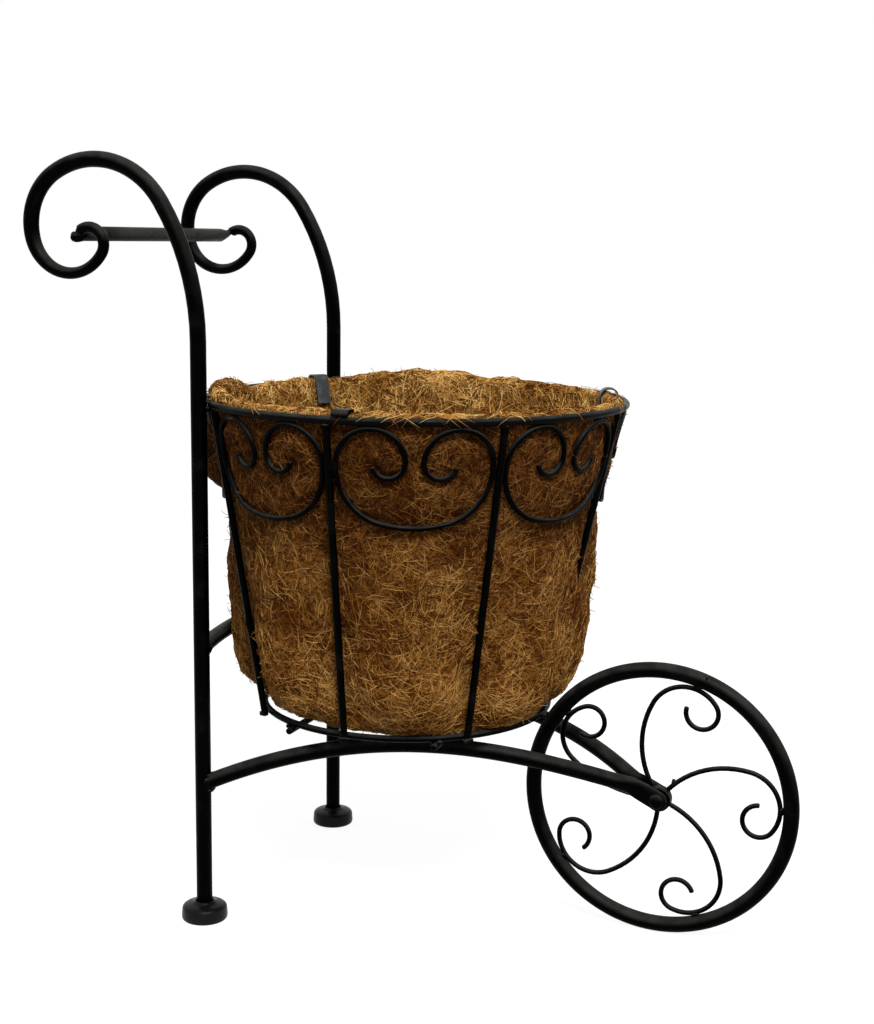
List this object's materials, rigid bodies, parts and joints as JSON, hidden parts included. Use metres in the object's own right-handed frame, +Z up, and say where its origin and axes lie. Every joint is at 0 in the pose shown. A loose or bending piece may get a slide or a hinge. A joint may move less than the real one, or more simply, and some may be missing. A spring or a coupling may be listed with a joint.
{
  "type": "wheelbarrow planter",
  "caption": "Small wheelbarrow planter: black scrolled steel frame with a spoked front wheel and an open wire basket lined with coir.",
  "frame": {"origin": "on the floor, at the middle of the planter's overall length and width", "axes": "+X towards the wheel, +Y to the left of a person standing at the handles, +Z up"},
  "size_m": [0.4582, 0.2599, 0.4589],
  "materials": {
    "black_paint": "satin black paint on steel bar and wire",
    "black_rubber": "matte black rubber",
    "coir_fibre": "rough golden-brown coconut fibre matting",
    "clip_steel": "dark grey bent steel strip"
  },
  "bodies": {
    "frame": {"right_side_bar": "black_paint", "left_side_bar": "black_paint", "grip_bar": "black_paint", "leg_brace": "black_paint", "right_rail": "black_paint", "left_rail": "black_paint", "right_foot_cap": "black_rubber", "left_foot_cap": "black_rubber", "basket_top_ring": "black_paint", "basket_bottom_ring": "black_paint", "basket_rib_1": "black_paint", "basket_rib_2": "black_paint", "basket_rib_3": "black_paint", "basket_rib_4": "black_paint", "basket_rib_5": "black_paint", "basket_rib_6": "black_paint", "basket_rib_7": "black_paint", "basket_rib_8": "black_paint", "basket_scroll_1": "black_paint", "basket_scroll_2": "black_paint", "basket_scroll_3": "black_paint", "basket_scroll_4": "black_paint", "basket_scroll_5": "black_paint", "basket_scroll_6": "black_paint", "basket_scroll_7": "black_paint", "basket_scroll_8": "black_paint", "front_floor_wire": "black_paint", "rear_floor_wire": "black_paint", "axle_rivet": "black_paint"},
    "wheel": {"wheel_rim": "black_paint", "wheel_hub": "black_paint", "wheel_spoke_1": "black_paint", "wheel_spoke_2": "black_paint", "wheel_spoke_3": "black_paint", "wheel_spoke_4": "black_paint", "wheel_spoke_5": "black_paint"},
    "liner": {"coir_liner": "coir_fibre", "liner_clip_1": "clip_steel", "liner_clip_2": "clip_steel", "liner_clip_3": "clip_steel"}
  },
  "joints": [
    {"name": "wheel_spin", "type": "hinge", "parent": "frame", "child": "wheel", "pos_m": [0.14593, 0, 0.0832], "axis": [0, 1, 0], "continuous": true},
    {"name": "liner_lift", "type": "slide", "parent": "frame", "child": "liner", "axis": [0, 0, 1], "range_m": [0, 0.2]}
  ]
}
